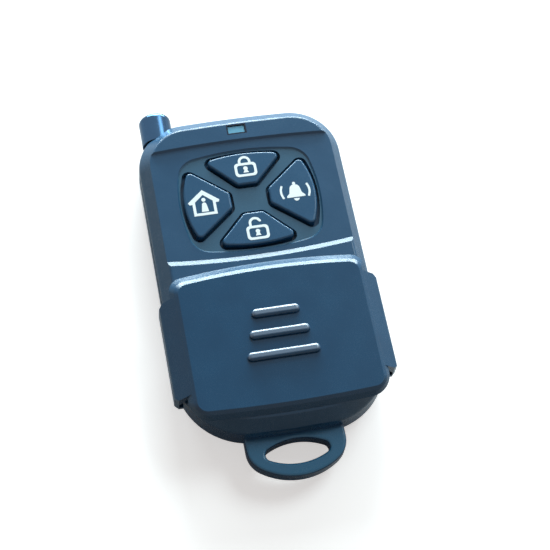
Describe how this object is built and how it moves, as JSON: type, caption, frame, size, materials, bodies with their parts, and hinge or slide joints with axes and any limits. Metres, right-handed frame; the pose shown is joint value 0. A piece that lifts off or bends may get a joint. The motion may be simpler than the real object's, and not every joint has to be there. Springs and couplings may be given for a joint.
{
  "type": "wireless remote",
  "caption": "Pocket alarm remote with fan-shaped keys under a sliding cover, a telescopic antenna at a corner and a key-ring lug.",
  "frame": {"origin": "middle of the housing's flat back face, without the lug and the antenna", "axes": "+X across the width to the right seen from the front, +Y from the key-ring lug to the antenna end, +Z out of the front"},
  "size_m": [0.0398, 0.074, 0.0135],
  "materials": {
    "housing_plastic": "satin, fine moulded texture",
    "cover_plastic": "satin, fine moulded texture",
    "key_plastic": "satin",
    "sign_ink": "white print",
    "clear_window": "clear light guide",
    "led_lens": "clear lens",
    "board_laminate": "solder resist",
    "black_epoxy": "moulded epoxy",
    "switch_black": "moulded",
    "choke_body": "lacquer",
    "plated_steel": "nickel plated",
    "screw_steel": "zinc plated",
    "battery_can": "plain shrink sleeve",
    "antenna_chrome": "polished chrome"
  },
  "bodies": {
    "housing": {"front_shell": "housing_plastic", "back_shell": "housing_plastic", "led_window": "clear_window", "indicator_led": "led_lens", "circuit_board": "board_laminate", "encoder_chip": "black_epoxy", "saw_resonator": "plated_steel", "rf_transistor": "black_epoxy", "choke": "choke_body", "chip_resistors": "black_epoxy", "battery": "battery_can", "positive_contact": "plated_steel", "negative_contact": "plated_steel", "antenna_base_tube": "antenna_chrome", "antenna_collar": "antenna_chrome", "antenna_clip": "plated_steel", "shell_screws": "screw_steel", "lock_switch": "switch_black", "unlock_switch": "switch_black", "home_switch": "switch_black", "alarm_switch": "switch_black"},
    "slide_cover": {"slide_cover": "cover_plastic"},
    "lock_key": {"lock_key": "key_plastic", "lock_plunger": "switch_black"},
    "unlock_key": {"unlock_key": "key_plastic", "unlock_plunger": "switch_black"},
    "home_key": {"home_key": "key_plastic", "home_plunger": "switch_black"},
    "alarm_key": {"alarm_key": "key_plastic", "alarm_plunger": "switch_black"},
    "antenna_lower": {"antenna_lower_tube": "antenna_chrome"},
    "antenna_upper": {"antenna_upper_tube": "antenna_chrome"},
    "antenna_tip": {"antenna_rod": "antenna_chrome", "antenna_cap": "antenna_chrome"}
  },
  "joints": [
    {"name": "cover_slide", "type": "slide", "parent": "housing", "child": "slide_cover", "axis": [0, 1, 0], "range_m": [0, 0.0265]},
    {"name": "lock_press", "type": "slide", "parent": "housing", "child": "lock_key", "axis": [0, 0, -1], "range_m": [0, 0.0003], "stiffness_N_per_m": 1500},
    {"name": "unlock_press", "type": "slide", "parent": "housing", "child": "unlock_key", "axis": [0, 0, -1], "range_m": [0, 0.0003], "stiffness_N_per_m": 1500},
    {"name": "home_press", "type": "slide", "parent": "housing", "child": "home_key", "axis": [0, 0, -1], "range_m": [0, 0.0003], "stiffness_N_per_m": 1500},
    {"name": "alarm_press", "type": "slide", "parent": "housing", "child": "alarm_key", "axis": [0, 0, -1], "range_m": [0, 0.0003], "stiffness_N_per_m": 1500},
    {"name": "antenna_lower_slide", "type": "slide", "parent": "housing", "child": "antenna_lower", "axis": [0, 1, 0], "range_m": [0, 0.032]},
    {"name": "antenna_upper_slide", "type": "slide", "parent": "antenna_lower", "child": "antenna_upper", "axis": [0, 1, 0], "range_m": [0, 0.032]},
    {"name": "antenna_tip_slide", "type": "slide", "parent": "antenna_upper", "child": "antenna_tip", "axis": [0, 1, 0], "range_m": [0, 0.032]}
  ]
}
